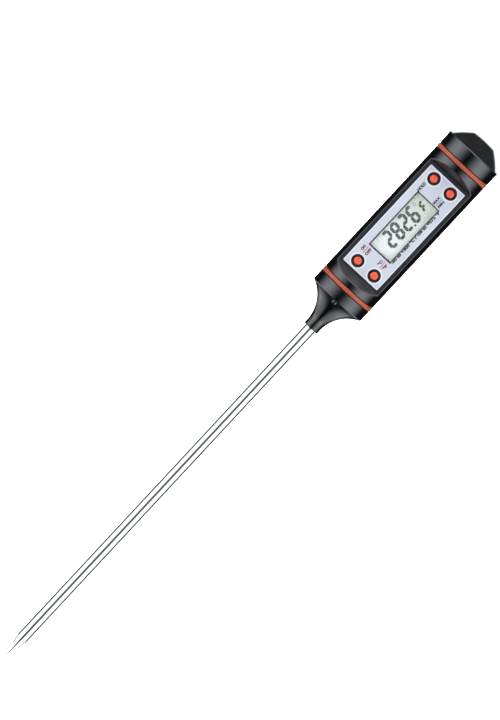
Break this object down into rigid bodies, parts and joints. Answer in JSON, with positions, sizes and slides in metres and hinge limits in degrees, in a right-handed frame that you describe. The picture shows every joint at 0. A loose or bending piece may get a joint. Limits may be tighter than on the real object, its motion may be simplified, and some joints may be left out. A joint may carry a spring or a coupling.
{
  "type": "digital soil thermometer",
  "caption": "Pen-type digital thermometer with a pointed steel probe, a round handle with a flat display, push buttons and a screw-on battery cap.",
  "frame": {"origin": "on the probe's axis, where the probe leaves the nose of the handle", "axes": "+Z along the axis, from the tip up to the battery cap; the display faces -Y and +X is to its right with the cap up"},
  "size_m": [0.0216, 0.0216, 0.2391],
  "materials": {
    "steel": "polished stainless steel tube",
    "bead_glass": "resin-dipped bead",
    "white_wire": "insulated lead",
    "clear_sleeve": "milky insulating sleeve",
    "grey_compound": "cured compound",
    "black_plastic": "glossy moulded plastic",
    "black_rubber": "smooth",
    "brass": "turned",
    "red_ring": "satin",
    "label": "printed plastic sheet",
    "window": "clear moulded plastic",
    "black_frame": "moulded plastic",
    "lcd_glass": "display glass",
    "lcd_reflector": "reflecting film",
    "strip_rubber": "striped conductive rubber",
    "board": "glass-fibre board with green solder mask",
    "screw_steel": "plated steel",
    "resin": "black resin drop",
    "chip_ceramic": "fired chip parts",
    "solder": "solder",
    "spring_metal": "plated spring steel",
    "cell_steel": "plated can",
    "red_wire": "insulated lead",
    "black_wire": "insulated lead",
    "foam": "thin foam disc",
    "red_button": "moulded silicone-coated key",
    "switch_actuator": "moulded"
  },
  "bodies": {
    "root": {"probe_tube": "steel", "thermistor_bead": "bead_glass", "sensor_lead_left": "white_wire", "sensor_lead_right": "white_wire", "insulating_sleeve": "clear_sleeve", "tip_compound": "grey_compound", "nose_cone": "black_plastic", "probe_seal": "black_rubber", "probe_collar": "brass", "nose_filling": "grey_compound", "front_ring": "red_ring", "housing": "black_plastic", "display_label": "label", "display_window": "window", "display_holder": "black_frame", "lcd_front_glass": "lcd_glass", "lcd_rear_glass": "lcd_glass", "lcd_reflector": "lcd_reflector", "contact_strip_front": "strip_rubber", "contact_strip_rear": "strip_rubber", "circuit_board": "board", "board_screws": "screw_steel", "switch_bodies": "black_frame", "chip_blob": "resin", "clock_crystal": "screw_steel", "chip_parts": "chip_ceramic", "solder_joints": "solder", "battery_holder": "black_frame", "positive_contact": "spring_metal", "negative_plate": "spring_metal", "negative_spring": "spring_metal", "button_cell": "cell_steel", "positive_lead": "red_wire", "negative_lead": "black_wire"},
    "button_power": {"button_power": "red_button", "plunger_power": "switch_actuator"},
    "button_unit": {"button_unit": "red_button", "plunger_unit": "switch_actuator"},
    "button_hold": {"button_hold": "red_button", "plunger_hold": "switch_actuator"},
    "button_max_min": {"button_max_min": "red_button", "plunger_max_min": "switch_actuator"},
    "ring_carrier": {"rear_ring": "red_ring"},
    "cap": {"battery_cap": "black_plastic", "cap_pad": "foam"}
  },
  "joints": [
    {"name": "press_power", "type": "slide", "parent": "root", "child": "button_power", "axis": [0, 1, 0], "range_m": [0, 0.0004], "stiffness_N_per_m": 1500},
    {"name": "press_unit", "type": "slide", "parent": "root", "child": "button_unit", "axis": [0, 1, 0], "range_m": [0, 0.0004], "stiffness_N_per_m": 1500},
    {"name": "press_hold", "type": "slide", "parent": "root", "child": "button_hold", "axis": [0, 1, 0], "range_m": [0, 0.0004], "stiffness_N_per_m": 1500},
    {"name": "press_max_min", "type": "slide", "parent": "root", "child": "button_max_min", "axis": [0, 1, 0], "range_m": [0, 0.0004], "stiffness_N_per_m": 1500},
    {"name": "cap_withdraw", "type": "slide", "parent": "root", "child": "ring_carrier", "axis": [0, 0, 1], "range_m": [0, 0.0036]},
    {"name": "cap_unscrew", "type": "hinge", "parent": "ring_carrier", "child": "cap", "pos_m": [0, 0, 0.0807], "axis": [0, 0, 1], "range_deg": [0, 1080]}
  ],
  "couplings": [
    {"joint": "cap_unscrew", "follows": "cap_withdraw", "rad_per_m": 5236}
  ]
}
